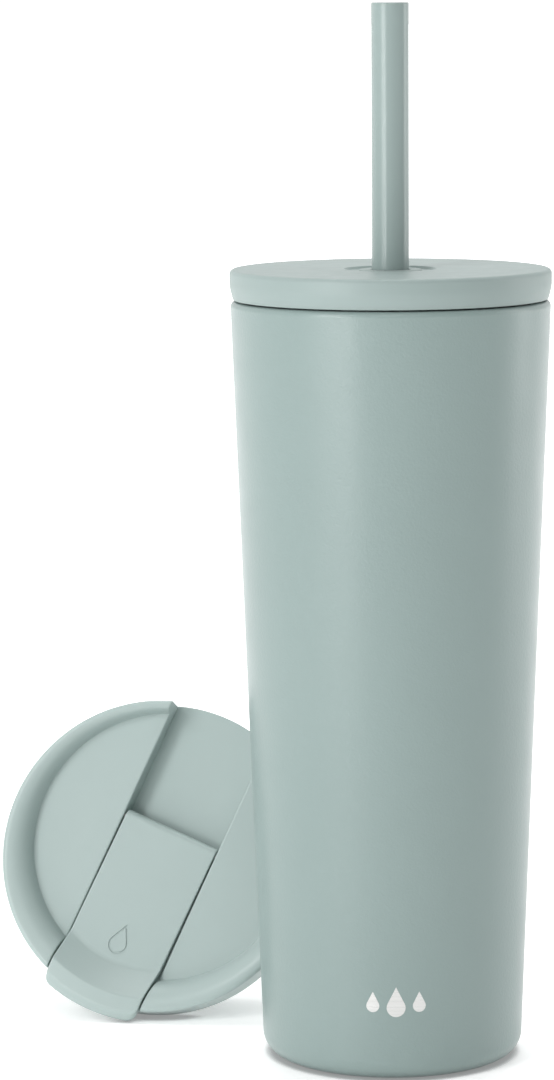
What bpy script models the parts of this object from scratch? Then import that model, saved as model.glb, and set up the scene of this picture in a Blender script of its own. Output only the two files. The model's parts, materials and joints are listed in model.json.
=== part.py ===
"""Insulated tumbler with a straw lid on it, its straw, and a spare flip lid beside it.

The tumbler is a double-walled steel cup: an outer shell, a liner inside it, and a vacuum
between them. The straw lid is pressed into the mouth. The flip lid stands on the floor on
its rim and its plug, leaning back, and its tab is closed.

Frame: +Z up, origin in the middle of the tumbler's base, on the floor. The flip lid
stands behind and to the left of the tumbler, on the -X and +Y side. Units are metres.
"""

import math

import bmesh
import bpy
from mathutils import Matrix, Vector

# ---- driving dimensions: tumbler ---------------------------------------------------
BASE_RADIUS = 0.03626          # outer radius that the taper has at floor level
TAPER = 0.0379                 # gain in radius per unit of height
MOUTH_Z = 0.2125               # top of the mouth
BASE_FILLET = 0.0063           # rounding between the wall and the base
FOOT_WIDTH = 0.0025            # flat ring that the tumbler stands on
MOUTH_FILLET = 0.0019          # rounding of the shell at the mouth
STEEL = 0.0006                 # sheet thickness of shell, liner and base
WALL = 0.0043                  # outer surface to inner surface, with the vacuum between
FLOOR_Z = 0.0130               # inner floor of the cup
LINER_FILLET = 0.0085          # rounding between the liner's wall and its floor
LIP_RADIUS = 0.0423            # where the liner's rim meets the shell
GAP = 0.0003                   # clearance between pieces that touch

# ---- driving dimensions: lids ------------------------------------------------------
SEAM_Z = 0.2129                # underside of the straw lid's rim
STRAW_LID_RADIUS = 0.0445
STRAW_LID_HEIGHT = 0.0083
STRAW_LID_TAPER = 0.0009       # how far the lid's side draws in at its lower edge
LID_PLATE = 0.0024             # thickness of a lid's top plate
RECESS_RADIUS = 0.0128         # dish round the straw
RECESS_DEPTH = 0.0011
PLUG_RADIUS = 0.0386
PLUG_WALL = 0.0020
PLUG_DEPTH = 0.0205            # below the underside of the rim
RIM_INNER_RADIUS = 0.0394      # the rim's underside runs from here outwards
GASKET_RADIUS = 0.0392
GASKET_HEIGHT = 0.0042
GASKET_DEPTH = 0.0080          # top of the gasket, below the underside of the rim

STRAW_RADIUS = 0.00515
STRAW_WALL = 0.0010
STRAW_BOTTOM_Z = 0.0205
STRAW_TOP_Z = 0.2940

# ---- driving dimensions: flip lid, in its own frame with z = 0 under its rim ----------
FLIP_RADIUS = 0.04596
FLIP_HEIGHT = 0.0112           # to the ridge of the rim
DECK_Z = 0.0036                # the two flat decks, at the end where the tab's lip is
DECK_SLOPE = 0.045             # rise of the decks per unit of length towards the hinge
DECK_RADIUS = 0.0393           # where the wall up to the ridge starts
DECK_SHIFT = 0.0035            # how far the middle of that circle is off the lid's axis
RIDGE_RADIUS = 0.0442
WALL_START = math.radians(12.0)     # the wall's round starts this far from upright
CHANNEL_HALF = 0.0152          # half the width of the channel that holds the tab
TROUGH_HALF = 0.0175           # half the width of the moulding under the channel
TROUGH_BOTTOM_Z = -0.0040
COLLAR_DEPTH = 0.0010          # ring under the rim that the plug is joined to
CHANNEL_END_Z = 0.0009         # floor of the open half of the channel, at the rim
POCKET_Z = -0.0014             # floor of the channel at the hinge
HINGE_Y = 0.0070
HINGE_Z = 0.0029
KNUCKLE_RADIUS = 0.0022
PIN_RADIUS = 0.00075
PIN_HALF = 0.0166
TAB_HALF = 0.01475
TAB_Z = 0.0052                 # the flat top of the tab
TAB_THICK = 0.0026
TAB_FOLD_RADIUS = 0.0334       # where the tab turns up towards the rim
LIP_Z = 0.0116                 # top of the tab's thumb lip
TAB_TIP_RADIUS = 0.0493
SIP_Y = -0.0270                # sip hole under the tab
SIP_RADIUS = 0.0052
VENT_Y = -0.0060
VENT_RADIUS = 0.0020

# ---- where the flip lid stands -----------------------------------------------------
FLIP_LEAN = math.radians(19.57)     # its top leans back from upright by this much
FLIP_TURN = math.radians(-8.02)     # and faces a little to the left of the front
FLIP_SPIN = math.radians(-23.0)     # the tab points down and to the left
FLIP_X = -0.06634
FLIP_Y = 0.05562

STEPS = 48                     # facets round a large piece
FINE_STEPS = 24                # facets round a small one
MERGE = 0.000001


# ---- helpers -------------------------------------------------------------------------

def clear_scene():
    for obj in list(bpy.data.objects):
        bpy.data.objects.remove(obj, do_unlink=True)


def new_collection(name):
    collection = bpy.data.collections.new(name)
    bpy.context.scene.collection.children.link(collection)
    return collection


def material(name, colour, roughness, metallic=0.0):
    made = bpy.data.materials.new(name)
    made.use_nodes = True
    shader = made.node_tree.nodes["Principled BSDF"]
    shader.inputs["Base Color"].default_value = (*colour, 1.0)
    shader.inputs["Roughness"].default_value = roughness
    shader.inputs["Metallic"].default_value = metallic
    return made


def arc(centre_r, centre_z, radius, start, end, count):
    """Points (r, z) along an arc, angles in degrees, 0 outwards and 90 up."""
    angles = [math.radians(start + (end - start) * i / count) for i in range(count + 1)]
    return [(centre_r + radius * math.cos(a), centre_z + radius * math.sin(a)) for a in angles]


def outer_radius(z):
    return BASE_RADIUS + TAPER * z


def raised(outline, z):
    return [(r, height + z) for r, height in outline]


def turned(name, outline, paint, collection, steps=STEPS, parent=None):
    """A turned piece. The outline runs down its outer side; one that starts and ends on
    the axis is solid, and any other is closed into a ring."""
    mesh = bpy.data.meshes.new(name)
    edges = [(i, i + 1) for i in range(len(outline) - 1)]
    if outline[0][0] > 0.0:
        edges.append((len(outline) - 1, 0))
    mesh.from_pydata([(r, 0.0, z) for r, z in outline], edges, [])
    obj = bpy.data.objects.new(name, mesh)
    collection.objects.link(obj)
    screw = obj.modifiers.new("turn", "SCREW")
    screw.axis = "Z"
    screw.steps = steps
    screw.render_steps = steps
    screw.use_merge_vertices = True
    screw.merge_threshold = MERGE
    return finish(obj, paint, parent)


def finish(obj, paint, parent):
    """Give a piece its material, its parent and smooth round faces."""
    if paint:
        obj.data.materials.append(paint)
    if parent:
        obj.parent = parent
    obj.data.shade_smooth()
    return obj


def block(name, low, high, collection, parent=None):
    """A box between two corners."""
    mesh = bpy.data.meshes.new(name)
    shape = bmesh.new()
    bmesh.ops.create_cube(shape, size=1.0)
    size = Vector(high) - Vector(low)
    centre = (Vector(high) + Vector(low)) / 2.0
    bmesh.ops.scale(shape, vec=size, verts=shape.verts)
    bmesh.ops.translate(shape, vec=centre, verts=shape.verts)
    shape.to_mesh(mesh)
    shape.free()
    obj = bpy.data.objects.new(name, mesh)
    collection.objects.link(obj)
    return finish(obj, None, parent)


def lofted(name, rings, collection, parent=None):
    """A solid through rings of as many points each, closed by a flat face at both ends."""
    count = len(rings[0])
    points = [point for ring in rings for point in ring]
    faces = [tuple(reversed(range(count))), tuple(range(len(points) - count, len(points)))]
    for start in range(0, len(points) - count, count):
        for i in range(count):
            a, b = start + i, start + (i + 1) % count
            faces += [(a, b, b + count), (a, b + count, a + count)]
    mesh = bpy.data.meshes.new(name)
    mesh.from_pydata(points, [], faces)
    obj = bpy.data.objects.new(name, mesh)
    collection.objects.link(obj)
    return finish(obj, None, parent)


def rod(name, radius, half_length, centre, collection, parent=None, steps=FINE_STEPS):
    """A cylinder along X about a centre."""
    mesh = bpy.data.meshes.new(name)
    shape = bmesh.new()
    bmesh.ops.create_cone(shape, cap_ends=True, segments=steps, radius1=radius,
                          radius2=radius, depth=2.0 * half_length,
                          matrix=Matrix.Rotation(math.radians(90.0), 4, "Y"))
    shape.to_mesh(mesh)
    shape.free()
    obj = bpy.data.objects.new(name, mesh)
    collection.objects.link(obj)
    obj.location = centre
    return finish(obj, None, parent)


def combine(obj, other, operation):
    boolean = obj.modifiers.new(f"{operation.lower()} {other.name}", "BOOLEAN")
    boolean.operation = operation
    boolean.solver = "EXACT"
    boolean.object = other


def as_tool(obj):
    """Mark a piece as a cutter or a guide, which is no part of the object."""
    obj.hide_render = True
    obj.display_type = "WIRE"
    return obj


def empty(name, collection, location=(0.0, 0.0, 0.0), parent=None):
    made = bpy.data.objects.new(name, None)
    collection.objects.link(made)
    made.empty_display_size = 0.01
    made.location = location
    made.parent = parent
    return made


# ---- tumbler --------------------------------------------------------------------------

def outer_shell(parts, paint):
    """The coated outer wall, rolled in at the mouth and under the base."""
    mouth_r = outer_radius(MOUTH_Z - MOUTH_FILLET) - MOUTH_FILLET
    mouth_z = MOUTH_Z - MOUTH_FILLET
    base_r = outer_radius(BASE_FILLET) - BASE_FILLET
    foot_r = base_r - FOOT_WIDTH
    lip_r = LIP_RADIUS + GAP
    outline = [(lip_r, MOUTH_Z)]
    outline += arc(mouth_r, mouth_z, MOUTH_FILLET, 75.0, 0.0, 4)
    outline += arc(base_r, BASE_FILLET, BASE_FILLET, 0.0, -90.0, 6)
    outline += [(foot_r, 0.0), (foot_r, STEEL)]
    outline += arc(base_r, BASE_FILLET, BASE_FILLET - STEEL, -90.0, 0.0, 5)
    outline += arc(mouth_r, mouth_z, MOUTH_FILLET - STEEL, 0.0, 60.0, 2)
    outline.append((lip_r, MOUTH_Z - STEEL))
    return turned("outer_shell", outline, paint, parts)


def inner_liner(parts, paint):
    """The bare steel cup inside, with the flat rim that closes the wall at the mouth."""
    rim_z = MOUTH_Z - STEEL
    neck_z = rim_z - 0.0020
    floor_r = outer_radius(FLOOR_Z + LINER_FILLET) - WALL - LINER_FILLET
    corner_z = FLOOR_Z + LINER_FILLET
    outline = [(LIP_RADIUS, MOUTH_Z), (LIP_RADIUS, rim_z)]
    outline += [(outer_radius(rim_z) - WALL + STEEL, rim_z - 0.0005)]
    outline += [(outer_radius(neck_z) - WALL + STEEL, neck_z)]
    outline += arc(floor_r, corner_z, LINER_FILLET + STEEL, 0.0, -90.0, 6)
    outline += [(0.0, FLOOR_Z - STEEL), (0.0, FLOOR_Z)]
    outline += arc(floor_r, corner_z, LINER_FILLET, -90.0, 0.0, 6)
    outline += [(outer_radius(neck_z) - WALL, neck_z)]
    outline += [(outer_radius(rim_z) - WALL + GAP, MOUTH_Z)]
    start = outline.index((0.0, FLOOR_Z - STEEL))
    on_axis = outline[start + 1:] + outline[:start + 1]
    return turned("inner_liner", on_axis, paint, parts)


def shell_bottom(parts, paint):
    """The pressed disc that closes the vacuum, with a dimple and its evacuation hole."""
    top_z = 0.0020
    dimple_r = 0.0060
    dimple_z = top_z + 0.0012
    hole_r = 0.0012
    outline = [(hole_r, dimple_z), (dimple_r, dimple_z), (dimple_r + 0.0015, top_z)]
    outline += [(0.0326, top_z), (0.0326, top_z - STEEL)]
    outline += [(dimple_r + 0.0012, top_z - STEEL), (dimple_r, dimple_z - STEEL)]
    outline += [(hole_r, dimple_z - STEEL)]
    return turned("shell_bottom", outline, paint, parts)


def base_cover(parts, paint):
    """The flat disc under the base, just inside the foot ring."""
    low_z = 0.0005
    radius = outer_radius(BASE_FILLET) - BASE_FILLET - FOOT_WIDTH - GAP
    outline = [(0.0, low_z + STEEL), (radius, low_z + STEEL), (radius, low_z), (0.0, low_z)]
    return turned("base_cover", outline, paint, parts)


def vacuum_seal(parts, paint):
    """The bead of sealing glass that stops the evacuation hole."""
    outline = [(0.0, 0.0023), (0.0030, 0.0023), (0.0040, 0.0019), (0.0040, 0.0016), (0.0, 0.0016)]
    return turned("vacuum_seal", outline, paint, parts, FINE_STEPS)


def getter(parts, paint):
    """The getter pill that holds the vacuum, under the liner's floor."""
    top_z = FLOOR_Z - STEEL - GAP
    outline = [(0.0, top_z), (0.0050, top_z), (0.0050, top_z - 0.0015), (0.0, top_z - 0.0015)]
    return turned("getter", outline, paint, parts, FINE_STEPS)


# ---- what both lids share ----------------------------------------------------------------

def lid_plug(name, top_z, seam_z, parts, paint, parent=None):
    """The skirt that goes into the mouth, with a groove for the gasket."""
    inner = PLUG_RADIUS - PLUG_WALL
    groove_r = GASKET_RADIUS - 0.0018 - GAP
    groove_top = -GASKET_DEPTH + GAP
    groove_low = groove_top - GASKET_HEIGHT - 2.0 * GAP
    outline = [(PLUG_RADIUS, top_z), (PLUG_RADIUS, groove_top), (groove_r, groove_top)]
    outline += [(groove_r, groove_low), (PLUG_RADIUS, groove_low)]
    outline += [(PLUG_RADIUS, -PLUG_DEPTH + 0.0004), (PLUG_RADIUS - 0.0005, -PLUG_DEPTH)]
    outline += [(inner, -PLUG_DEPTH), (inner, top_z)]
    return turned(name, raised(outline, seam_z), paint, parts, parent=parent)


def lid_gasket(name, seam_z, parts, paint, parent=None):
    """A silicone ring with two ribs round it."""
    inner = GASKET_RADIUS - 0.0018
    waist = GASKET_RADIUS - 0.0007
    top = -GASKET_DEPTH
    low = top - GASKET_HEIGHT
    middle = (top + low) / 2.0
    outline = [(waist, top), (GASKET_RADIUS, top - 0.0008), (waist, middle)]
    outline += [(GASKET_RADIUS, low + 0.0008), (waist, low), (inner, low), (inner, top)]
    return turned(name, raised(outline, seam_z), paint, parts, parent=parent)


# ---- straw lid -----------------------------------------------------------------------------

def straw_lid_cap(parts, paint):
    """The flat disc on the mouth, dished round the straw."""
    edge = 0.0012
    recess_z = STRAW_LID_HEIGHT - RECESS_DEPTH
    plate_z = STRAW_LID_HEIGHT - RECESS_DEPTH - LID_PLATE
    hole_r = 0.0074
    outline = arc(STRAW_LID_RADIUS - edge, STRAW_LID_HEIGHT - edge, edge, 90.0, 0.0, 3)
    outline += [(STRAW_LID_RADIUS, 0.0036), (STRAW_LID_RADIUS - STRAW_LID_TAPER, 0.0)]
    outline += [(RIM_INNER_RADIUS, 0.0), (RIM_INNER_RADIUS, plate_z)]
    outline += [(hole_r, plate_z), (hole_r, recess_z), (RECESS_RADIUS - GAP, recess_z)]
    outline += [(RECESS_RADIUS, STRAW_LID_HEIGHT)]
    return turned("straw_lid_cap", raised(outline, SEAM_Z), paint, parts)


def straw_grommet(parts, paint):
    """The silicone ring that holds the straw, with a flange above and below the plate."""
    top = STRAW_LID_HEIGHT - 0.0002
    recess_z = STRAW_LID_HEIGHT - RECESS_DEPTH
    plate_z = recess_z - LID_PLATE
    neck_r = 0.0074 - GAP
    flange_r = 0.0088
    hole_r = STRAW_RADIUS + GAP
    outline = [(hole_r, top), (flange_r - 0.0005, top), (flange_r, recess_z + GAP)]
    outline += [(neck_r, recess_z + GAP), (neck_r, plate_z - GAP), (flange_r, plate_z - GAP)]
    outline += [(flange_r - 0.0006, plate_z - 0.0014), (hole_r, plate_z - 0.0014)]
    return turned("straw_grommet", raised(outline, SEAM_Z), paint, parts, FINE_STEPS)


def straw(parts, paint):
    """The straight straw."""
    bore = STRAW_RADIUS - STRAW_WALL
    outline = [(STRAW_RADIUS, STRAW_TOP_Z), (STRAW_RADIUS, STRAW_BOTTOM_Z)]
    outline += [(bore, STRAW_BOTTOM_Z), (bore, STRAW_TOP_Z)]
    return turned("straw", outline, paint, parts, FINE_STEPS)


# ---- flip lid, built in its own frame ----------------------------------------------------------

def flip_lid_cap(parts, cutters, paint, frame):
    """The cap: a ridged rim, two decks, and a channel across it for the tab."""
    outline = [(0.0, FLIP_HEIGHT), (FLIP_RADIUS - 0.0010, FLIP_HEIGHT)]
    outline += [(FLIP_RADIUS - 0.0003, FLIP_HEIGHT - 0.0004), (FLIP_RADIUS, FLIP_HEIGHT - 0.0012)]
    outline += [(FLIP_RADIUS, 0.0008), (FLIP_RADIUS - 0.0002, 0.0)]
    outline += [(PLUG_RADIUS, 0.0), (PLUG_RADIUS, -COLLAR_DEPTH), (0.0, -COLLAR_DEPTH)]
    cap = turned("flip_lid_cap", outline, paint, parts, parent=frame)
    combine(cap, recess(cutters, frame), "DIFFERENCE")
    combine(cap, trough(cutters, frame), "UNION")
    combine(cap, bowl(cutters, frame), "DIFFERENCE")
    combine(cap, open_channel(cutters, frame), "DIFFERENCE")
    combine(cap, tab_channel(cutters, frame, "tab_channel", CHANNEL_HALF, GAP), "DIFFERENCE")
    for name, y, radius in (("sip_hole", SIP_Y, SIP_RADIUS), ("vent_hole", VENT_Y, VENT_RADIUS)):
        combine(cap, drill(name, y, radius, cutters, frame), "DIFFERENCE")
    hinge = (0.0, HINGE_Y, HINGE_Z)
    pin_bore = as_tool(rod("pin_bore", PIN_RADIUS + GAP, PIN_HALF + GAP, hinge, cutters, frame, 12))
    combine(cap, pin_bore, "DIFFERENCE")
    return cap


def deck_height(y):
    return DECK_Z + DECK_SLOPE * (y + DECK_RADIUS - DECK_SHIFT)


def circle(radius, shift):
    """Points (x, y) round a circle whose middle is off the axis by shift along Y."""
    angles = [2.0 * math.pi * i / STEPS for i in range(STEPS)]
    return [(radius * math.sin(a), shift - radius * math.cos(a)) for a in angles]


def bowl(cutters, frame):
    """All the space above the decks inside the rim. Its wall is a convex round, upright at
    the decks and level at the ridge, and goes from the decks' circle out to the ridge's."""
    rings = []
    foot = circle(DECK_RADIUS, DECK_SHIFT)
    for degrees in (12.0, 30.0, 48.0, 64.0, 80.0):
        angle = math.radians(degrees)
        out = (math.cos(WALL_START) - math.cos(angle)) / math.cos(WALL_START)
        up = (math.sin(angle) - math.sin(WALL_START)) / (1.0 - math.sin(WALL_START))
        radius = DECK_RADIUS + (RIDGE_RADIUS - DECK_RADIUS) * out
        row = circle(radius, DECK_SHIFT * (1.0 - out))
        rings.append([(x, y, deck_height(low_y) * (1.0 - up) + FLIP_HEIGHT * up)
                      for (x, y), (_, low_y) in zip(row, foot)])
    edge = circle(RIDGE_RADIUS, 0.0)
    rings.append([(x, y, FLIP_HEIGHT + 0.0001) for x, y in edge])
    rings.append([(x, y, 0.03) for x, y in edge])
    return as_tool(lofted("bowl", rings, cutters, frame))


def recess(cutters, frame):
    """The hollow under the decks, which leaves a plate of even thickness."""
    edge = circle(PLUG_RADIUS - PLUG_WALL - 0.0007, 0.0)
    low = [(x, y, -0.02) for x, y in edge]
    high = [(x, y, deck_height(y) - LID_PLATE) for x, y in edge]
    return as_tool(lofted("recess", [low, high], cutters, frame))


def trough(cutters, frame):
    """The thicker moulding under the channel, inside the plug."""
    radius = PLUG_RADIUS - PLUG_WALL - GAP
    top = deck_height(radius) - 0.0005
    disc = turned("trough", [(0.0, top), (radius, top), (radius, TROUGH_BOTTOM_Z),
                             (0.0, TROUGH_BOTTOM_Z)], None, cutters, parent=frame)
    width = as_tool(block("trough_width", (-TROUGH_HALF, -0.06, -0.02),
                          (TROUGH_HALF, 0.06, 0.02), cutters, frame))
    combine(disc, width, "INTERSECT")
    return as_tool(disc)


def open_channel(cutters, frame):
    """The open half of the channel: its floor falls from the rim down to the hinge."""
    near = HINGE_Y - KNUCKLE_RADIUS - 2.0 * GAP
    far = 0.06
    wedge = block("open_channel", (-CHANNEL_HALF, near, POCKET_Z), (CHANNEL_HALF, far, 0.03),
                  cutters, frame)
    pocket_end = HINGE_Y + KNUCKLE_RADIUS + 2.0 * GAP
    slope = (CHANNEL_END_Z - POCKET_Z) / (FLIP_RADIUS - pocket_end)
    shape = bmesh.new()
    shape.from_mesh(wedge.data)
    plane = (0.0, pocket_end, 0.0)
    bmesh.ops.bisect_plane(shape, geom=shape.verts[:] + shape.edges[:] + shape.faces[:],
                           plane_co=plane, plane_no=(0.0, 1.0, 0.0))
    for vert in shape.verts:
        if vert.co.y > pocket_end + MERGE and vert.co.z < 0.0:
            vert.co.z = POCKET_Z + slope * (vert.co.y - pocket_end)
    shape.to_mesh(wedge.data)
    shape.free()
    return as_tool(wedge)


def tab_outline(grow):
    """Section of the tab from the axis out: flat, up the slope, and over the rim as a
    thumb lip. grow widens it downwards, for the channel that holds the tab."""
    under = TAB_Z - TAB_THICK - grow
    lip_under = LIP_Z - 0.0030 - grow
    top = [(0.0, TAB_Z), (TAB_FOLD_RADIUS - 0.0008, TAB_Z)]
    top += [(TAB_FOLD_RADIUS + 0.0008, TAB_Z + 0.0006), (0.0416, LIP_Z - 0.0005)]
    top += [(0.0426, LIP_Z), (0.0466, LIP_Z - 0.0002)]
    tip = [(TAB_TIP_RADIUS - 0.0008, LIP_Z - 0.0010), (TAB_TIP_RADIUS, LIP_Z - 0.0018)]
    tip += [(TAB_TIP_RADIUS - 0.0001, LIP_Z - 0.0023)]
    bottom = [(TAB_TIP_RADIUS - 0.0008, lip_under), (0.0434, lip_under), (0.0359, under + 0.0008)]
    bottom += [(0.0342, under), (0.0, under)]
    return top, tip, bottom


def tab_channel(cutters, frame, name, half, grow):
    """The half of the channel that the closed tab lies in."""
    top, tip, bottom = tab_outline(grow)
    far = 0.06
    over = 0.03
    outline = [(0.0, over), (far, over), (far, bottom[0][1])] + bottom[1:]
    disc = turned(name, outline, None, cutters, parent=frame)
    width = as_tool(block(name + "_width", (-half, -0.07, -0.05), (half, HINGE_Y, 0.05),
                          cutters, frame))
    combine(disc, width, "INTERSECT")
    return as_tool(disc)


def drill(name, y, radius, cutters, frame):
    """A vertical drill through the channel's floor."""
    outline = [(0.0, 0.01), (radius, 0.01), (radius, -0.01), (0.0, -0.01)]
    tool = turned(name, outline, None, cutters, FINE_STEPS, frame)
    tool.location = (0.0, y, 0.0)
    return as_tool(tool)


def flip_tab(parts, cutters, paint, hinge):
    """The hinged tab. Its mesh is about the hinge axis, where its parent is."""
    top, tip, bottom = tab_outline(0.0)
    centre = (0.0, -HINGE_Y, -HINGE_Z)
    tab = turned("flip_tab", top + tip + bottom, paint, parts, parent=hinge)
    tab.location = centre
    width = as_tool(block("tab_width", (-TAB_HALF, -0.07, -0.05), (TAB_HALF, 0.0, 0.05),
                          cutters, hinge))
    combine(tab, width, "INTERSECT")
    knuckle = as_tool(rod("tab_knuckle", KNUCKLE_RADIUS, TAB_HALF - 0.0001, (0.0, 0.0, 0.0),
                          cutters, hinge))
    combine(tab, knuckle, "UNION")
    bore = as_tool(rod("tab_bore", PIN_RADIUS + GAP, 0.02, (0.0, 0.0, 0.0), cutters, hinge, 12))
    combine(tab, bore, "DIFFERENCE")
    return tab


def hinge_pin(parts, paint, frame):
    """The steel pin through the tab's knuckle, held by the channel's two walls."""
    pin = rod("hinge_pin", PIN_RADIUS, PIN_HALF, (0.0, HINGE_Y, HINGE_Z), parts, frame, 12)
    pin.data.materials.append(paint)
    return pin


def tab_seal(name, y, radius, depth, parts, paint, hinge):
    """A silicone stopper under the tab, which closes a hole in the channel's floor."""
    top = TAB_Z - TAB_THICK - GAP
    outline = [(0.0, top), (radius, top), (radius, top - 0.6 * depth)]
    outline += [(radius - 0.0005, top - depth), (0.0, top - depth)]
    seal = turned(name, outline, paint, parts, FINE_STEPS, hinge)
    seal.location = (0.0, y - HINGE_Y, -HINGE_Z)
    return seal


# ---- assembly ------------------------------------------------------------------------------------

def build():
    clear_scene()
    parts = new_collection("insulated_tumbler_with_lid")
    cutters = new_collection("cutters")
    guides = new_collection("guides")

    coat = material("powder_coat", (0.366, 0.465, 0.445), 0.5)
    plastic = material("lid_plastic", (0.40, 0.50, 0.48), 0.35)
    silicone = material("silicone", (0.43, 0.53, 0.51), 0.6)
    steel = material("brushed_steel", (0.60, 0.60, 0.59), 0.3, 1.0)
    glass_bead = material("sealing_glass", (0.10, 0.10, 0.10), 0.3)

    outer_shell(parts, coat)
    inner_liner(parts, steel)
    shell_bottom(parts, steel)
    base_cover(parts, coat)
    vacuum_seal(parts, glass_bead)
    getter(parts, steel)

    straw_lid_cap(parts, plastic)
    plug_top = STRAW_LID_HEIGHT - RECESS_DEPTH - LID_PLATE - GAP
    lid_plug("straw_lid_plug", plug_top, SEAM_Z, parts, plastic)
    lid_gasket("straw_lid_gasket", SEAM_Z, parts, silicone)
    straw_grommet(parts, silicone)
    straw(parts, plastic)

    frame = empty("flip_lid_frame", guides)
    stance = Matrix.Rotation(FLIP_TURN, 4, "Z")
    stance @= Matrix.Rotation(math.radians(90.0) - FLIP_LEAN, 4, "X")
    stance @= Matrix.Rotation(FLIP_SPIN, 4, "Z")
    height = (FLIP_RADIUS - 0.0002) * math.cos(FLIP_LEAN)
    frame.matrix_world = Matrix.Translation((FLIP_X, FLIP_Y, height)) @ stance
    hinge = empty("flip_tab_hinge", guides, (0.0, HINGE_Y, HINGE_Z), frame)

    flip_lid_cap(parts, cutters, plastic, frame)
    lid_plug("flip_lid_plug", -COLLAR_DEPTH - GAP, 0.0, parts, plastic, frame)
    lid_gasket("flip_lid_gasket", 0.0, parts, silicone, frame)
    hinge_pin(parts, steel, frame)
    flip_tab(parts, cutters, plastic, hinge)
    tab_seal("sip_seal", SIP_Y, SIP_RADIUS - 0.0006, 0.0022, parts, silicone, hinge)
    tab_seal("vent_seal", VENT_Y, VENT_RADIUS - 0.0005, 0.0012, parts, silicone, hinge)


build()
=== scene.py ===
"""Looks of the insulated tumbler, its straw lid, its straw and the flip lid beside it."""
import json
import math

import bmesh
import bpy
import numpy as np
from mathutils import Matrix, Vector


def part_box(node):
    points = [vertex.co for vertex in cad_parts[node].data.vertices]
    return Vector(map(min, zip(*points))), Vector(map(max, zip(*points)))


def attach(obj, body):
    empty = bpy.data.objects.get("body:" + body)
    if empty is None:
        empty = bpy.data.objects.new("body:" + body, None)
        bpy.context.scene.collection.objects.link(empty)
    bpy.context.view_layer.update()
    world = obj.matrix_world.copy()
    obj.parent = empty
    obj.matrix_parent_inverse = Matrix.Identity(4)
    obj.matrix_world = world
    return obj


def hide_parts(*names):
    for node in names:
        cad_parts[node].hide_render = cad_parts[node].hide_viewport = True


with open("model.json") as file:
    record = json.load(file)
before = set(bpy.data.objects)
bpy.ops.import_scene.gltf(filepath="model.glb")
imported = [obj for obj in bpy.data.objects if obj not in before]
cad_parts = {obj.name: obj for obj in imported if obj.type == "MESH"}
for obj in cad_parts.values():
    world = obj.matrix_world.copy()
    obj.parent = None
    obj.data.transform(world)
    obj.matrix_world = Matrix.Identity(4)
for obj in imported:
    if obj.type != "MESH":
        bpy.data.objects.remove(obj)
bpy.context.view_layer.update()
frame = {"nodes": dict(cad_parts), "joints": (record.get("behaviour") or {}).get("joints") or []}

MM = 0.001
ROUND = 192                # facets round a large turned piece
ROUND_SMALL = 64           # facets round a small one
CLOSE = 0.02 * MM          # points nearer than this count as level

# ---- measures taken from the frame ------------------------------------------------------


def node_points(node, place=None):
    """A CAD node's corners, in the row frame or in a piece's own frame."""
    points = np.array([v.co for v in frame["nodes"][node].data.vertices], float)
    if place is None:
        return points
    inverse = np.array(place.inverted())
    return points @ inverse[:3, :3].T + inverse[:3, 3]


def rings(node, place=None):
    """The distinct (radius, height) pairs of a turned CAD node, about its own axis."""
    points = node_points(node, place)
    pairs = np.stack([np.hypot(points[:, 0], points[:, 1]), points[:, 2]], axis=1)
    return np.unique(np.round(pairs, 5), axis=0)


def heights_at(pairs, radius):
    """Lowest and highest point of a section at one radius."""
    found = pairs[np.abs(pairs[:, 0] - radius) < CLOSE][:, 1]
    return found.min(), found.max()


def radii_at(pairs, height):
    """Smallest and largest radius of a section at one height."""
    found = pairs[np.abs(pairs[:, 1] - height) < CLOSE][:, 0]
    return found.min(), found.max()


def extent(pairs):
    """Smallest and largest radius, lowest and highest point."""
    return pairs[:, 0].min(), pairs[:, 0].max(), pairs[:, 1].min(), pairs[:, 1].max()


def joint(name):
    return next(j for j in frame["joints"] if j["name"] == name)


def flip_lid_place():
    """The flip lid's own frame: x along the hinge, y along the channel away from the tab,
    z out of its top, and z = 0 at the underside of its rim."""
    plug = node_points("flip_lid_plug")
    spread = np.linalg.svd(plug - plug.mean(axis=0), full_matrices=False)[2]
    x_axis = -Vector(joint("flip_tab_hinge")["axis"]).normalized()
    z_axis = Vector(spread[2])
    if z_axis.y > 0.0:
        z_axis.negate()
    y_axis = z_axis.cross(x_axis).normalized()
    z_axis = x_axis.cross(y_axis)
    turn = Matrix((x_axis, y_axis, z_axis)).transposed()
    local = plug @ np.array(turn)
    centre = Vector((local.min(axis=0) + local.max(axis=0)) / 2.0)
    centre.z = local[:, 2].max() + COLLAR_DEPTH + GAP
    return Matrix.Translation(turn @ centre) @ turn.to_4x4()


# ---- shapes -------------------------------------------------------------------------------


def arc(centre_r, centre_z, radius, start, end, count):
    """Points (r, z) along an arc, angles in degrees, 0 outwards and 90 up."""
    angles = [math.radians(start + (end - start) * i / count) for i in range(count + 1)]
    return [(centre_r + radius * math.cos(a), centre_z + radius * math.sin(a)) for a in angles]


def rounded(corners, closed=True, steps=5):
    """An outline with its corners rounded. A corner is (r, z, fillet radius)."""
    outline = []
    count = len(corners)
    for i, (r, z, radius) in enumerate(corners):
        if radius <= 0.0 or (not closed and i in (0, count - 1)):
            outline.append((r, z))
            continue
        here = Vector((r, z))
        before = (Vector(corners[i - 1][:2]) - here).normalized()
        after = (Vector(corners[(i + 1) % count][:2]) - here).normalized()
        half = before.angle(after) / 2.0
        reach = radius / math.tan(half)
        centre = here + (before + after).normalized() * (radius / math.sin(half))
        first = here + before * reach - centre
        last = here + after * reach - centre
        start = math.atan2(first.y, first.x)
        sweep = math.remainder(math.atan2(last.y, last.x) - start, math.tau)
        for step in range(steps + 1):
            angle = start + sweep * step / steps
            outline.append((centre.x + radius * math.cos(angle),
                            centre.y + radius * math.sin(angle)))
    return outline


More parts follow.
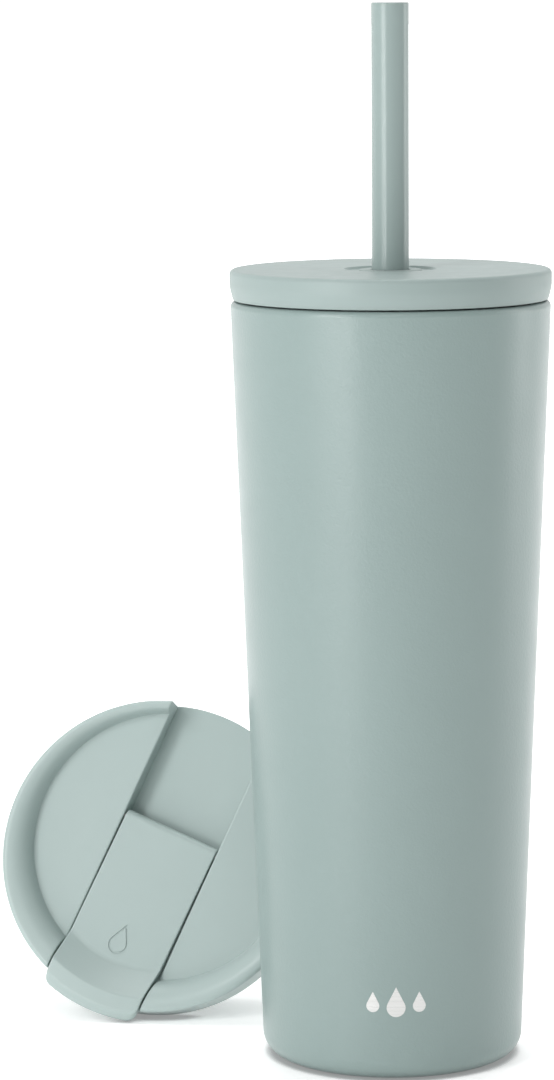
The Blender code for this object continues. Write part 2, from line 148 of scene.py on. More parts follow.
def inward_normals(outline, closed=True):
    """Unit vectors into an outline, one at each of its points."""
    points = [Vector(p) for p in outline]
    area = sum(a.cross(b) for a, b in zip(points, points[1:] + points[:1]))
    side = 1.0 if area > 0.0 else -1.0
    normals = []
    for i in range(len(points)):
        before = points[i - 1] if closed or i > 0 else points[i]
        after = points[(i + 1) % len(points)] if closed or i < len(points) - 1 else points[i]
        along = after - before
        normals.append(Vector((-along.y, along.x)).normalized() * side)
    return normals


def mesh_object(name, verts, faces):
    """A mesh with its faces turned outwards."""
    mesh = bpy.data.meshes.new(name)
    mesh.from_pydata(verts, [], faces)
    obj = bpy.data.objects.new(name, mesh)
    bpy.context.scene.collection.objects.link(obj)
    shape = bmesh.new()
    shape.from_mesh(mesh)
    bmesh.ops.recalc_face_normals(shape, faces=shape.faces)
    shape.to_mesh(mesh)
    shape.free()
    return obj


def turned(name, outline, steps=ROUND):
    """A turned piece. The outline runs down its outer side; where it starts and ends on
    the axis the piece is solid there, and any other outline is closed into a ring."""
    verts, faces, rows = [], [], []
    for r, z in outline:
        if r < 1e-7:
            rows.append([len(verts)] * steps)
            verts.append((0.0, 0.0, z))
            continue
        rows.append([len(verts) + i for i in range(steps)])
        for i in range(steps):
            angle = math.tau * i / steps
            verts.append((r * math.cos(angle), r * math.sin(angle), z))
    on_axis = outline[0][0] < 1e-7
    pairs = list(zip(rows, rows[1:])) + ([] if on_axis else [(rows[-1], rows[0])])
    for upper, lower in pairs:
        for i in range(steps):
            k = (i + 1) % steps
            face = list(dict.fromkeys((upper[i], lower[i], lower[k], upper[k])))
            if len(face) > 2:
                faces.append(face)
    return mesh_object(name, verts, faces)


def strips(name, verts, count):
    """A solid through outlines of count points each, side by side, closed at both ends."""
    faces = []
    for start in range(0, len(verts) - count, count):
        for i in range(count):
            k = (i + 1) % count
            faces.append((start + i, start + k, start + count + k, start + count + i))
    faces.append(tuple(range(count)))
    faces.append(tuple(range(len(verts) - count, len(verts))))
    return mesh_object(name, verts, faces)


def side_columns(half, fillet, steps=5):
    """Places across one half of a swept piece, (distance from its middle, inset there),
    with a rounded edge at the side."""
    angles = [0.5 * math.pi * i / steps for i in range(steps + 1)]
    return [(half - fillet + fillet * math.sin(a), fillet * (1.0 - math.cos(a))) for a in angles]


def swept(name, outline, half, fillet, bend_from, corner=0.0, corner_from=1.0):
    """A solid with one closed outline (y, z) all across its width, and rounded edges at
    its sides. Further out than bend_from the outline follows circles round the axis, and
    further out than corner_from its corners are rounded in plan."""
    inward = inward_normals(outline)
    sides = side_columns(half, fillet)
    near = half - fillet - corner
    middle = [(near * i / 12.0, 0.0) for i in range(12)]
    middle += [(near + corner * i / 9.0, 0.0) for i in range(9) if corner > 0.0]
    right = middle + sides
    columns = [(-x, inset) for x, inset in reversed(right[1:])] + right
    verts = []
    for x, inset in columns:
        for (s, z), normal in zip(outline, inward):
            y = s + normal.x * inset
            if abs(s) > bend_from:
                y = math.copysign(math.sqrt(y * y - x * x), y)
            across = max(0.0, abs(x) - half + corner)
            if abs(s) > corner_from and across > 0.0:
                pull = (abs(s) - corner_from) / (CORNER_FULL - corner_from)
                drop = corner - math.sqrt(max(0.0, corner ** 2 - across ** 2))
                y = math.copysign(abs(y) - min(1.0, pull) * drop, y)
            verts.append((x, y, z + normal.y * inset))
    return strips(name, verts, len(outline))


def cylinder(radius, low, high, steps=ROUND_SMALL):
    """A cylinder about z, to cut with."""
    return turned("tool", [(0.0, high), (radius, high), (radius, low), (0.0, low)], steps)


def combine(obj, other, operation):
    """Cut, join or intersect two solids. The second one is used up."""
    boolean = obj.modifiers.new(operation, "BOOLEAN")
    boolean.operation = operation
    boolean.solver = "EXACT"
    boolean.object = other
    bpy.context.view_layer.update()
    evaluated = obj.evaluated_get(bpy.context.evaluated_depsgraph_get())
    mesh = bpy.data.meshes.new_from_object(evaluated)
    obj.modifiers.clear()
    obj.data = mesh
    bpy.data.objects.remove(other, do_unlink=True)


def joined(name, *objects):
    """Several solids as one piece."""
    shape = bmesh.new()
    for obj in objects:
        shape.from_mesh(obj.data)
        bpy.data.objects.remove(obj, do_unlink=True)
    mesh = bpy.data.meshes.new(name)
    shape.to_mesh(mesh)
    shape.free()
    made = bpy.data.objects.new(name, mesh)
    bpy.context.scene.collection.objects.link(made)
    return made


def finish_piece(obj, body, paint, nodes=(), place=None):
    """Smooth a piece, paint it, put it in its place and hang it on its body."""
    if place is not None:
        obj.data.transform(place)
    obj.data.shade_smooth()
    obj.data.set_sharp_from_angle(angle=math.radians(32.0))
    weighted = obj.modifiers.new("normals", "WEIGHTED_NORMAL")
    weighted.keep_sharp = True
    obj.data.materials.clear()
    obj.data.materials.append(paint)
    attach(obj, body)
    if nodes:
        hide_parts(*nodes)
    return obj


# ---- finishes -------------------------------------------------------------------------------


class Finish:
    """A node material, with short calls for the nodes that these finishes use."""

    def __init__(self, name):
        self.material = bpy.data.materials.new(name)
        self.material.use_nodes = True
        self.tree = self.material.node_tree
        self.shader = self.tree.nodes["Principled BSDF"]
        self.place = self.tree.nodes.new("ShaderNodeTexCoord").outputs["Object"]

    def set(self, name, value):
        self.shader.inputs[name].default_value = value

    def link(self, name, output):
        self.tree.links.new(output, self.shader.inputs[name])

    def stretch(self, scale):
        """The piece's own coordinates, stretched."""
        mapping = self.tree.nodes.new("ShaderNodeMapping")
        mapping.inputs["Scale"].default_value = scale
        self.tree.links.new(self.place, mapping.inputs["Vector"])
        return mapping.outputs["Vector"]

    def noise(self, scale, detail=3.0, roughness=0.5, vector=None):
        node = self.tree.nodes.new("ShaderNodeTexNoise")
        node.inputs["Scale"].default_value = scale
        node.inputs["Detail"].default_value = detail
        node.inputs["Roughness"].default_value = roughness
        self.tree.links.new(vector or self.place, node.inputs["Vector"])
        return node.outputs["Fac"]

    def along_y(self):
        """Distance along the piece's own y."""
        node = self.tree.nodes.new("ShaderNodeSeparateXYZ")
        self.tree.links.new(self.place, node.inputs["Vector"])
        return node.outputs["Y"]

    def openness(self, reach):
        """How open the surface is to its surroundings: 0 in a deep crevice, 1 in the open."""
        node = self.tree.nodes.new("ShaderNodeAmbientOcclusion")
        node.inputs["Distance"].default_value = reach
        return node.outputs["AO"]

    def spread(self, output, low, high, start=0.3, end=0.7):
        """Turn a noise's middle range into a range of values."""
        node = self.tree.nodes.new("ShaderNodeMapRange")
        node.inputs["From Min"].default_value = start
        node.inputs["From Max"].default_value = end
        node.inputs["To Min"].default_value = low
        node.inputs["To Max"].default_value = high
        self.tree.links.new(output, node.inputs["Value"])
        return node.outputs["Result"]

    def tint(self, output, first, second):
        """A colour between two others."""
        node = self.tree.nodes.new("ShaderNodeMix")
        node.data_type = "RGBA"
        ends = [i for i in node.inputs if i.type == "RGBA"]
        ends[0].default_value = (*first, 1.0)
        ends[1].default_value = (*second, 1.0)
        self.tree.links.new(output, node.inputs["Factor"])
        return next(o for o in node.outputs if o.type == "RGBA")

    def bump(self, output, distance, after=None):
        node = self.tree.nodes.new("ShaderNodeBump")
        node.inputs["Distance"].default_value = distance
        self.tree.links.new(output, node.inputs["Height"])
        if after is not None:
            self.tree.links.new(after, node.inputs["Normal"])
        return node.outputs["Normal"]


def shade(colour, factor):
    return tuple(c * factor for c in colour)


SAGE = (0.226, 0.294, 0.283)
SAGE_PLASTIC = (0.360, 0.434, 0.421)
SAGE_STRAW_LID = (0.268, 0.332, 0.321)
SAGE_STRAW = (0.266, 0.330, 0.319)
SAGE_SILICONE = (0.290, 0.350, 0.338)
STEEL = (0.66, 0.66, 0.65)


def cloudy(finish, scale, colour, low, high):
    """A colour with slight clouds in it."""
    cloud = finish.spread(finish.noise(scale, 3.0), 0.0, 1.0)
    finish.link("Base Color", finish.tint(cloud, shade(colour, low), shade(colour, high)))


def powder_coat():
    """Satin powder coat: a fine crinkle with a sparser orange peel over it."""
    made = Finish("powder_coat")
    cloudy(made, 18.0, SAGE, 0.985, 1.015)
    crinkle = made.bump(made.noise(2200.0, 2.0, 0.6), 0.00002)
    made.link("Normal", made.bump(made.noise(1150.0, 2.0), 0.000062, crinkle))
    made.link("Roughness", made.spread(made.noise(90.0), 0.29, 0.34))
    return made.material


def moulded(name, colour, roughness, grain, uneven=0.03):
    """Moulded plastic with a fine tool texture."""
    made = Finish(name)
    cloudy(made, 30.0, colour, 0.99, 1.01)
    made.link("Roughness", made.spread(made.noise(260.0, 4.0), roughness - uneven,
                                       roughness + uneven))
    made.link("Normal", made.bump(made.noise(1900.0, 2.0), grain))
    made.set("IOR", 1.44)
    return made.material


def rubber(colour):
    """Matte silicone."""
    made = Finish("silicone")
    cloudy(made, 60.0, colour, 0.97, 1.02)
    made.link("Roughness", made.spread(made.noise(500.0), 0.52, 0.62))
    made.link("Normal", made.bump(made.noise(1500.0, 2.0), 0.00001))
    made.set("IOR", 1.41)
    return made.material


def brushed(name, roughness, along):
    """Bare steel with brush marks. along holds their scale on each axis: fine where large."""
    made = Finish(name)
    streak = made.noise(1.0, 4.0, 0.6, made.stretch(along))
    made.link("Base Color", made.tint(made.spread(streak, 0.0, 1.0), shade(STEEL, 0.90),
                                      shade(STEEL, 1.06)))
    made.link("Roughness", made.spread(streak, roughness - 0.06, roughness + 0.08))
    made.link("Normal", made.bump(streak, 0.00001))
    made.set("Metallic", 1.0)
    return made.material


def sealing_glass():
    """The dark fused bead over the evacuation hole."""
    made = Finish("sealing_glass")
    cloudy(made, 300.0, (0.045, 0.045, 0.05), 0.7, 1.3)
    made.link("Roughness", made.spread(made.noise(900.0), 0.2, 0.35))
    return made.material


# ---- the tumbler -----------------------------------------------------------------------------

BASE_FILLET = 6.3 * MM
MOUTH_FILLET = 1.6 * MM
SHEET = 0.6 * MM
LINER_FILLET = 8.5 * MM
EMBLEM_Z = 22.9 * MM         # middle of the row of drops
EMBLEM_DROPS = ((-6.4 * MM, 5.8 * MM), (0.0, 8.4 * MM), (6.4 * MM, 5.8 * MM))   # place, height


class Wall:
    """The tapered outer wall, as its CAD node has it."""

    def __init__(self):
        pairs = rings("outer_shell")
        self.top = pairs[:, 1].max()
        self.foot_inner, foot_outer = radii_at(pairs, 0.0)
        widest = pairs[pairs[:, 0].argmax()]
        low_r = foot_outer + BASE_FILLET
        self.slope = (widest[0] - low_r) / (widest[1] - BASE_FILLET)
        self.base = low_r - self.slope * BASE_FILLET
        self.lip = radii_at(pairs, self.top)[0]

    def radius(self, z):
        return self.base + self.slope * z


def shell(wall):
    """The coated outer wall."""
    outer, inner = wall.radius(wall.top), wall.radius(wall.top) - SHEET
    return turned("shell_coat", rounded([
        (wall.lip, wall.top, 0.0), (outer, wall.top, MOUTH_FILLET),
        (wall.base, 0.0, BASE_FILLET), (wall.foot_inner, 0.0, 0.0),
        (wall.foot_inner, SHEET, 0.0), (wall.base - SHEET, SHEET, BASE_FILLET - SHEET),
        (inner, wall.top - SHEET, MOUTH_FILLET - SHEET), (wall.lip, wall.top - SHEET, 0.0),
    ], steps=12))


def liner(wall):
    """The bare steel cup inside, and its rim at the mouth."""
    pairs = rings("inner_liner")
    rim = radii_at(pairs, wall.top)
    under, over = heights_at(pairs, pairs[:, 0].min())
    wall_top = rim[0] - 0.3 * MM
    low_r = wall_top - wall.slope * (wall.top - over)
    rim_low = wall.top - SHEET
    return turned("liner_cup", rounded([
        (0.0, over, 0.0), (low_r, over, LINER_FILLET), (wall_top, wall.top - 1.5 * MM, 1.0 * MM),
        (rim[0], wall.top, 0.2 * MM), (rim[1], wall.top, 0.15 * MM), (rim[1], rim_low, 0.0),
        (wall_top + SHEET + 0.3 * MM, rim_low, 0.5 * MM),
        (low_r + SHEET, under, LINER_FILLET + SHEET), (0.0, under, 0.0),
    ], closed=False, steps=12))


def base_plate():
    """The coated disc under the base, with a shallow ring pressed into it."""
    low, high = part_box("base_cover")
    radius = high.x
    groove = 0.25 * MM
    return turned("base_plate", rounded([
        (0.0, high.z, 0.0), (radius, high.z, 0.1 * MM), (radius, low.z, 0.2 * MM),
        (radius * 0.80, low.z, 0.3 * MM), (radius * 0.785, low.z + groove, 0.3 * MM),
        (radius * 0.745, low.z + groove, 0.3 * MM), (radius * 0.73, low.z, 0.3 * MM),
        (0.0, low.z, 0.0),
    ], closed=False))


def emblem(wall):
    """A plain row of three drops, bare steel in the coat, low on the front."""
    proud, deep = 0.05 * MM, 0.15 * MM
    rows, across = 28, 12
    verts, faces = [], []
    for offset, height in EMBLEM_DROPS:
        layers = []
        for level in (proud, -deep):
            layer = []
            for row in range(rows + 1):
                angle = math.pi * row / rows
                z = EMBLEM_Z - 0.5 * height * math.cos(angle)
                half = drop_half(height, z - EMBLEM_Z + 0.5 * height)
                for i in range(across + 1):
                    x = offset + half * (2.0 * i / across - 1.0)
                    r = wall.radius(z) + level
                    layer.append(len(verts))
                    verts.append((r * math.sin(x / r), -r * math.cos(x / r), z))
            layers.append(layer)
        wide = across + 1
        top, under = layers
        for row in range(rows):
            for i in range(across):
                a = row * wide + i
                faces.append((top[a], top[a + 1], top[a + wide + 1], top[a + wide]))
                faces.append((under[a], under[a + 1], under[a + wide + 1], under[a + wide]))
            for i in (0, across):
                a = row * wide + i
                faces.append((top[a], top[a + wide], under[a + wide], under[a]))
    obj = mesh_object("emblem", verts, faces)
    shape = bmesh.new()
    shape.from_mesh(obj.data)
    bmesh.ops.remove_doubles(shape, verts=shape.verts, dist=0.000002)
    bmesh.ops.recalc_face_normals(shape, faces=shape.faces)
    shape.to_mesh(obj.data)
    shape.free()
    return obj


def drop_half(height, up):
    """Half the width of a water drop, at a height above its round end."""
    radius = 0.31 * height
    reach = height - radius
    touch = radius + radius * radius / reach
    if up < touch:
        return math.sqrt(max(0.0, radius * radius - (up - radius) ** 2))
    return (height - up) * math.tan(math.asin(radius / reach))


# ---- lids --------------------------------------------------------------------------------------


def lid_skirt(name, node, place=None):
    """A lid's skirt, with the groove that its gasket sits in."""
    pairs = rings(node, place)
    inner, outer, low, top = extent(pairs)
    groove_r = pairs[pairs[:, 0] > inner + 10.0 * CLOSE][:, 0].min()
    groove_low, groove_top = heights_at(pairs, groove_r)
    edge = 0.25 * MM
    return turned(name, rounded([
        (outer, top, edge), (outer, groove_top, edge), (groove_r, groove_top, 0.1 * MM),
        (groove_r, groove_low, 0.1 * MM), (outer, groove_low, edge),
        (outer, low, 2.4 * edge), (inner, low, 2.0 * edge), (inner, top, edge),
    ]))


def lid_seal(name, node, place=None):
    """A silicone ring with two soft ribs."""
    inner, outer, low, top = extent(rings(node, place))
    waist = outer - 0.7 * MM
    rib = 0.8 * MM
    return turned(name, rounded([
        (inner, top, 0.2 * MM), (waist, top, 0.2 * MM), (outer + 0.1 * MM, top - rib, 0.3 * MM),
        (waist, (top + low) / 2.0, 0.6 * MM), (outer + 0.1 * MM, low + rib, 0.3 * MM),
        (waist, low, 0.2 * MM), (inner, low, 0.2 * MM),
    ]))


DISH_RAISE = 0.3 * MM        # the dish round the straw is this much shallower than its CAD node


def straw_lid_top():
    """The flat cap, dished round the straw."""
    pairs = rings("straw_lid_cap")
    hole, outer, low, top = extent(pairs)
    rim_inner, rim_outer = radii_at(pairs, low)
    under, dish_z = heights_at(pairs, hole)
    dish_r = radii_at(pairs, top)[0]
    dish_z += DISH_RAISE
    waist_z = heights_at(pairs, outer)[0]
    return turned("straw_lid_top", rounded([
        (outer, top, 1.3 * MM), (outer, waist_z, 9.0 * MM), (rim_outer, low, 0.3 * MM),
        (rim_inner, low, 0.2 * MM), (rim_inner, under, 0.4 * MM), (hole, under, 0.2 * MM),
        (hole, dish_z, 0.2 * MM), (dish_r - 0.6 * MM, dish_z, 0.5 * MM),
        (dish_r, top, 0.3 * MM),
    ]))


def straw_collar():
    """The silicone ring round the straw, with a soft lip."""
    pairs = rings("straw_grommet")
    bore, outer, low, top = extent(pairs)
    upper = radii_at(pairs, top)[1]
    neck = pairs[(pairs[:, 0] > bore + CLOSE)][:, 0].min()
    neck_low, neck_top = heights_at(pairs, neck)
    neck_top += DISH_RAISE - 0.15 * MM
    return turned("straw_collar", rounded([
        (bore, top, 0.3 * MM), (upper + 0.3 * MM, top, 0.3 * MM), (outer, neck_top, 0.05 * MM),
        (neck, neck_top, 0.1 * MM), (neck, neck_low, 0.1 * MM), (outer, neck_low, 0.1 * MM),
        (outer - 0.6 * MM, low, 0.4 * MM), (bore, low, 0.35 * MM),
    ]), 128)


def straw_tube():
    """The straw, with soft edges at both ends."""
    bore, outer, low, top = extent(rings("straw"))
    edge = 0.42 * MM
    return turned("straw_tube", rounded([
        (outer, top, edge), (outer, low, edge), (bore, low, edge), (bore, top, edge),
    ]), 128)


# ---- the flip lid, in its own frame with z = 0 under its rim -------------------------------------

GAP = 0.3 * MM
RIM_RADIUS = 45.96 * MM
RIDGE_RADIUS = 44.2 * MM
RIM_TOP = 11.25 * MM
DECK_LOW = 3.6 * MM          # the decks' height at the tab's lip
DECK_SLOPE = 0.045           # and their rise towards the hinge
DECK_RADIUS = 39.3 * MM
DECK_SHIFT = 3.5 * MM        # the middle of the decks' round edge is off the axis
DECK_FILLET = 0.33 * MM
WALL_START = math.radians(12.0)
PLATE = 2.4 * MM
PLUG_OUTER = 38.6 * MM
PLUG_INNER = 36.6 * MM
COLLAR_DEPTH = 1.0 * MM
CHANNEL_HALF = 15.2 * MM
TROUGH_HALF = 17.5 * MM
TROUGH_Z = -4.0 * MM
CHANNEL_END_Z = 0.9 * MM
POCKET_Z = -1.4 * MM
HINGE_Y = 7.0 * MM
HINGE_Z = 2.9 * MM
KNUCKLE = 2.3 * MM
TAB_HALF = 14.75 * MM
TAB_Z = 5.2 * MM
TAB_THICK = 2.6 * MM
LIP_UNDER = 8.6 * MM
BEND_FROM = 20.0 * MM        # the tab's folds and the rim follow circles beyond this
CORNER = 2.2 * MM            # the lip's corners, rounded fully at its tip
CORNER_FROM = 45.5 * MM
CORNER_FULL = 48.4 * MM
SIP_HOLE = 5.2 * MM          # radii of the holes under the tab's two stoppers
VENT_HOLE = 2.0 * MM
PIN_BORE = 1.05 * MM
MARK_DEPTH = 0.3 * MM        # the drop-shaped groove in the tab
MARK_OUTER = (-26.5 * MM, 9.4 * MM)         # middle along y, and height
MARK_INNER = (-26.7 * MM, 7.4 * MM)


def deck_circle(radius, shift, above=0.0):
    """A circle on the decks' plane: its radius, the shift of its middle along y, and its
    height as a middle value and a tilt."""
    middle = DECK_LOW + DECK_SLOPE * (shift + DECK_RADIUS - DECK_SHIFT) + above
    return radius, shift, middle, DECK_SLOPE * radius


def cap_circles():
    """Section of the cap as circles, from the deck up the wall, over the ridge, down the
    outside and in again under the deck. The wall is a convex round that is upright at the
    deck and level at the ridge."""
    circles = [deck_circle(DECK_RADIUS - 2.5 * MM, DECK_SHIFT)]
    for angle in (0.0, 22.0, 45.0, 68.0):
        turn = math.radians(angle)
        circles.append(deck_circle(DECK_RADIUS - DECK_FILLET * (1.0 - math.sin(turn)),
                                   DECK_SHIFT, DECK_FILLET * (1.0 - math.cos(turn))))
    _, _, foot, tilt = deck_circle(DECK_RADIUS, DECK_SHIFT)
    for i in range(15):
        angle = math.radians(18.0 + 72.0 * i / 14.0)
        out = (math.cos(WALL_START) - math.cos(angle)) / math.cos(WALL_START)
        up = (math.sin(angle) - math.sin(WALL_START)) / (1.0 - math.sin(WALL_START))
        circles.append((DECK_RADIUS + (RIDGE_RADIUS - DECK_RADIUS) * out,
                        DECK_SHIFT * (1.0 - out), foot * (1.0 - up) + RIM_TOP * up,
                        tilt * (1.0 - up)))
    level = rounded([
        (RIDGE_RADIUS, RIM_TOP, 0.0), (RIM_RADIUS, RIM_TOP, 1.3 * MM), (RIM_RADIUS, 0.0, 0.4 * MM),
        (PLUG_OUTER, 0.0, 0.0), (PLUG_OUTER, -COLLAR_DEPTH, 0.2 * MM),
        (PLUG_INNER - 0.7 * MM, -COLLAR_DEPTH, 0.2 * MM), (PLUG_INNER - 0.7 * MM, 0.0, 0.0),
    ], closed=False, steps=6)
    circles += [(r, 0.0, z, 0.0) for r, z in level[1:]]
    circles.append(deck_circle(PLUG_INNER - 0.7 * MM, 0.0, -PLATE))
    circles.append(deck_circle(PLUG_INNER - 3.0 * MM, 0.0, -PLATE))
    return circles


def cap_side(name, side):
    """One deck of the cap with its part of the rim, cut off straight along the channel and
    with a rounded edge there."""
    circles = cap_circles()
    fillet = 0.5 * MM
    ends = [(2.0 * CHANNEL_HALF - x, inset)
            for x, inset in reversed(side_columns(CHANNEL_HALF, fillet))]
    inward = {way: inward_normals([(r + way * shift, z + way * tilt)
                                   for r, shift, z, tilt in circles], closed=False)
              for way in (1.0, -1.0)}
    under_from = next(i for i, circle in enumerate(circles) if circle[2] <= 0.0)
    steps = 96
    rows, verts, faces = [], [], []
    for row, (r, shift, z, tilt) in enumerate(circles):
        def cut(x, inset, way):
            normal = inward[way][row]
            inset = inset if row < under_from else 0.0
            bent = r + normal.x * inset
            y = math.sqrt(bent * bent - x * x)
            return x, shift + way * y, z + way * tilt * y / r + normal.y * inset
        points = [cut(x, inset, 1.0) for x, inset in ends[:-1]]
        start = math.asin(ends[-1][0] / r)
        for i in range(steps + 1):
            angle = start + (math.pi - 2.0 * start) * i / steps
            points.append((r * math.sin(angle), shift + r * math.cos(angle),
                           z + tilt * math.cos(angle)))
        points += [cut(x, inset, -1.0) for x, inset in reversed(ends[:-1])]
        rows.append([len(verts) + i for i in range(len(points))])
        verts += [(side * x, y, height) for x, y, height in points]
    for upper, lower in zip(rows, rows[1:]):
        for i in range(len(upper) - 1):
            faces.append((upper[i], lower[i], lower[i + 1], upper[i + 1]))
    for row in (rows[0], rows[-1]):
        for i in range(len(ends) - 1):
            faces.append((row[i], row[i + 1], row[-2 - i], row[-1 - i]))
        faces.append(tuple(row[len(ends) - 1:len(row) - len(ends) + 1]))
    faces.append(tuple([row[0] for row in rows] + [row[-1] for row in reversed(rows)]))
    return mesh_object(name, verts, faces)


def cap_channel():
    """The channel's floor: under the tab, the hinge pocket, and the open half that falls
    from the rim to the hinge."""
    under = TAB_Z - TAB_THICK - GAP
    ledge = LIP_UNDER - GAP
    pocket = KNUCKLE + 0.55 * MM
    outline = rounded([
        (-RIM_RADIUS, ledge, 0.5 * MM), (-43.4 * MM, ledge, 0.8 * MM),
        (-35.9 * MM, under + 0.8 * MM, 0.6 * MM), (-34.2 * MM, under, 0.6 * MM),
        (HINGE_Y - pocket, under, 0.3 * MM), (HINGE_Y - pocket, POCKET_Z, 0.8 * MM),
        (HINGE_Y + pocket, POCKET_Z, 1.5 * MM), (RIM_RADIUS, CHANNEL_END_Z, 0.4 * MM),
        (RIM_RADIUS, 0.0, 0.3 * MM), (PLUG_OUTER, 0.0, 0.0), (PLUG_OUTER, -COLLAR_DEPTH, 0.2 * MM),
        (PLUG_INNER - GAP, -COLLAR_DEPTH, 0.0), (PLUG_INNER - GAP, TROUGH_Z, 0.5 * MM),
        (GAP - PLUG_INNER, TROUGH_Z, 0.5 * MM), (GAP - PLUG_INNER, -COLLAR_DEPTH, 0.0),
        (-PLUG_OUTER, -COLLAR_DEPTH, 0.2 * MM), (-PLUG_OUTER, 0.0, 0.0),
        (-RIM_RADIUS, 0.0, 0.3 * MM),
    ])
    floor_piece = swept("channel", outline, CHANNEL_HALF + 0.03 * MM, 0.01 * MM, BEND_FROM)
    for y, radius in ((seal_y("sip_seal"), SIP_HOLE), (seal_y("vent_seal"), VENT_HOLE)):
        tool = cylinder(radius, -0.02, 0.02)
        tool.data.transform(Matrix.Translation((0.0, y, 0.0)))
        combine(floor_piece, tool, "DIFFERENCE")
    return floor_piece


def trough_side(side):
    """The edge strip of the moulding under the channel."""
    reach = PLUG_INNER - GAP
    low, high = (deck_circle(reach, 0.0, -0.5 * PLATE)[2] + way * DECK_SLOPE * reach
                 for way in (-1.0, 1.0))
    outline = rounded([(-reach, low, 0.0), (reach, high, 0.0),
                       (reach, TROUGH_Z, 0.5 * MM), (-reach, TROUGH_Z, 0.5 * MM)])
    columns = [(CHANNEL_HALF - 0.01 * MM, 0.0)] + side_columns(TROUGH_HALF, 0.4 * MM)
    inward = inward_normals(outline)
    verts = []
    for x, inset in columns:
        for (s, z), normal in zip(outline, inward):
            y = s + normal.x * inset
            verts.append((side * x, math.copysign(math.sqrt(y * y - x * x), y),
                          z + normal.y * inset))
    return strips("trough_side", verts, len(outline))


def flip_cap():
    """The whole cap as one piece."""
    return joined("flip_cap", cap_side("right", 1.0), cap_side("left", -1.0), cap_channel(),
                  trough_side(1.0), trough_side(-1.0))


def thumb_tab():
    """The hinged tab: flat on the channel, up the slope, and over the rim as a lip."""
    under = TAB_Z - TAB_THICK
    knuckle_from = HINGE_Y - math.sqrt(KNUCKLE ** 2 - (HINGE_Z - under) ** 2)
    corners = rounded([
        (HINGE_Y, TAB_Z, 0.0), (-33.4 * MM, TAB_Z, 3.0 * MM), (-42.4 * MM, 11.75 * MM, 1.3 * MM),
        (-46.8 * MM, 11.45 * MM, 2.2 * MM), (-49.6 * MM, 9.6 * MM, 0.8 * MM),
        (-48.6 * MM, LIP_UNDER, 0.5 * MM), (-43.3 * MM, LIP_UNDER, 1.0 * MM),
        (-35.8 * MM, under + 0.8 * MM, 0.8 * MM), (-34.2 * MM, under, 0.8 * MM),
        (knuckle_from, under, 0.0),
    ], closed=False, steps=7)
    turn = arc(HINGE_Y, HINGE_Z, KNUCKLE, 187.5, 450.0, 28)
    outline = corners[:-1] + turn[:-1]
    tab = swept("thumb_tab", outline, TAB_HALF, 0.4 * MM, BEND_FROM, CORNER, CORNER_FROM)
    bore = cylinder(PIN_BORE, -0.02, 0.02, 32)
    bore.data.transform(Matrix.Translation((0.0, HINGE_Y, HINGE_Z))
                        @ Matrix.Rotation(math.radians(90.0), 4, "Y"))
    combine(tab, bore, "DIFFERENCE")
    groove = drop_tool(*MARK_OUTER, TAB_Z - MARK_DEPTH, TAB_Z + 1.0 * MM)
    combine(groove, drop_tool(*MARK_INNER, TAB_Z - 1.0 * MM, TAB_Z + 2.0 * MM), "DIFFERENCE")
    combine(tab, groove, "DIFFERENCE")
    return tab


def drop_tool(y, height, low, high):
    """A drop-shaped prism, to press a plain mark with. Its tip points along +y."""
    rows = [height * (1.0 - math.cos(math.pi * i / 24)) / 2.0 for i in range(25)]
    right = [(drop_half(height, up), up) for up in rows[1:-1]]
    outline = [(0.0, 0.0)] + right + [(0.0, height)] + [(-x, up) for x, up in reversed(right)]
    outline = [(x, y - 0.5 * height + up) for x, up in outline]
    count = len(outline)
    verts = [(x, v, low) for x, v in outline] + [(x, v, high) for x, v in outline]
    faces = [(i, (i + 1) % count, count + (i + 1) % count, count + i) for i in range(count)]
    faces += [tuple(range(count)), tuple(range(count, 2 * count))]
    return mesh_object("drop", verts, faces)


def seal_y(node):
    """Where a stopper sits along the flip lid's y."""
    points = node_points(node, FLIP)
    return (points[:, 1].min() + points[:, 1].max()) / 2.0


def stopper(name, node):
    """A silicone stopper under the tab, with a rounded nose."""
    points = node_points(node, FLIP)
    low, high = points.min(axis=0), points.max(axis=0)
    radius, height = (high[0] - low[0]) / 2.0, high[2] - low[2]
    obj = turned(name, rounded([
        (0.0, high[2], 0.0), (radius, high[2], 0.1 * MM), (radius, low[2], 0.45 * height),
        (0.0, low[2], 0.0),
    ], closed=False), 96)
    obj.data.transform(Matrix.Translation((0.0, seal_y(node), 0.0)))
    return obj


# ---- the set --------------------------------------------------------------------------------

CAMERA_PLACE = (-0.0318, -1.1157, 0.2961)
CAMERA_TILT = 0.1340         # below level, in radians
CAMERA_ROLL = -0.0062
CAMERA_LENS = 134.68
FLOOR_HALF = 40.0
FLOOR_PALE = (0.95, 0.95, 0.95)
# colour of the painted contact shadow that the floor takes close to a piece
FLOOR_PAINTED_SHADOW = (0.20, 0.22, 0.22)
PAINTED_SHADOW_REACH = 3.0 * MM     # the floor's colour darkens into a painted contact shadow where a piece is nearer than this
GLOW_NEAR, GLOW_FAR = 0.24, 0.80     # the far floor glows, from and up to these distances
BACKLIGHT = (1.08, -0.88)    # strength of the surroundings behind the set, and from where on
FRONTLIGHT = (0.12, 0.85)    # and in front of it
TO_FRONT = (0.12, -0.95, -0.15)
SOFT_LIGHTS = (              # name, place, aim, width and height, power
    ("key", (-1.16, -1.10, 0.80), (0.0, 0.0, 0.15), (0.50, 1.5), 18.3),
    ("strip", (-0.87, -1.34, 0.16), (0.0, 0.0, 0.2), (0.09, 0.30), 2.4),
    ("fill", (0.10, -1.40, 1.6), (0.0, 0.0, 0.05), (1.0, 0.8), 6.6),
    ("top", (0.0, 0.50, 1.5), (0.0, 0.0, 0.1), (0.6, 0.6), 6.5),
    ("rim", (1.30, 0.35, 0.5), (0.0, 0.0, 0.14), (0.5, 1.2), 5.0),
)


